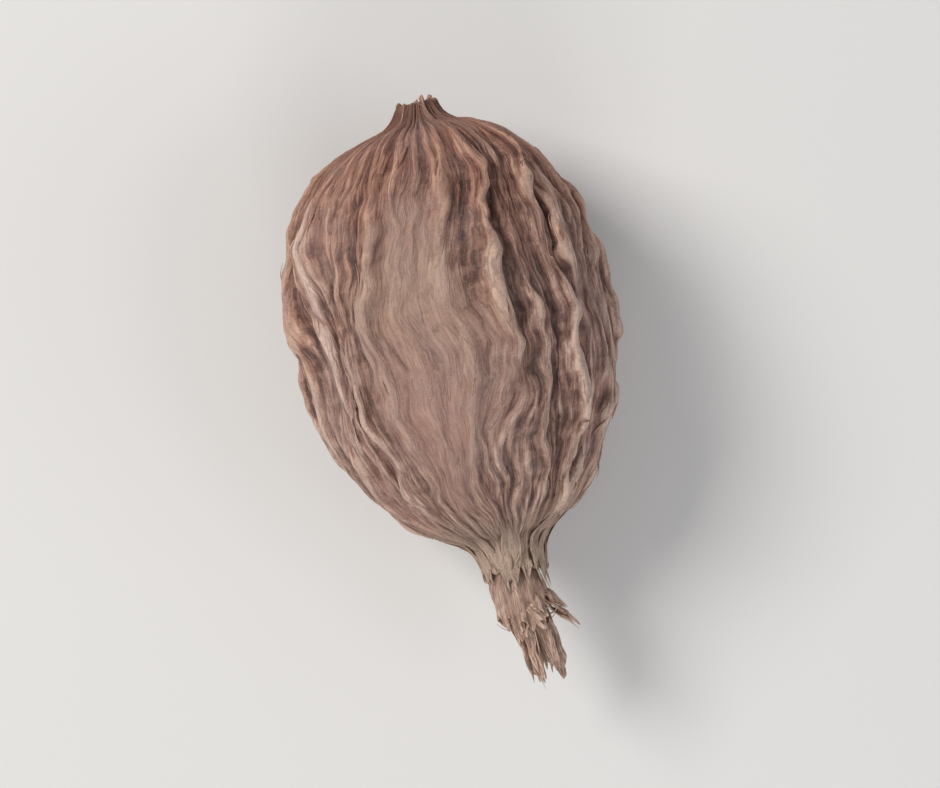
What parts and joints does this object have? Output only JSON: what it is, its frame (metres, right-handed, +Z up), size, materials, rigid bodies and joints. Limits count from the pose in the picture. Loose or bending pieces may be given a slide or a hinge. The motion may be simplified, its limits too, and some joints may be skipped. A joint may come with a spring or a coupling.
{
  "type": "black cardamom pod",
  "caption": "Dried oval spice pod with wavy lengthwise ridges, a stalk stump at the round end and a frayed papery tuft at the tip, lying on its side.",
  "frame": {"origin": "on the surface that the pod rests on, in the flat spot of its belly, under its middle", "axes": "+X along the pod from the stalk end to the papery tuft, +Z up from the resting surface, +Y across the pod"},
  "size_m": [0.0295, 0.0162, 0.0135],
  "materials": {
    "husk": "dry, fibrous, wrinkled, matte with a faint waxy sheen on the ridges",
    "calyx": "dry, papery, frayed, matte"
  },
  "bodies": {
    "root": {"husk": "husk", "calyx_tuft": "calyx"}
  },
  "joints": []
}
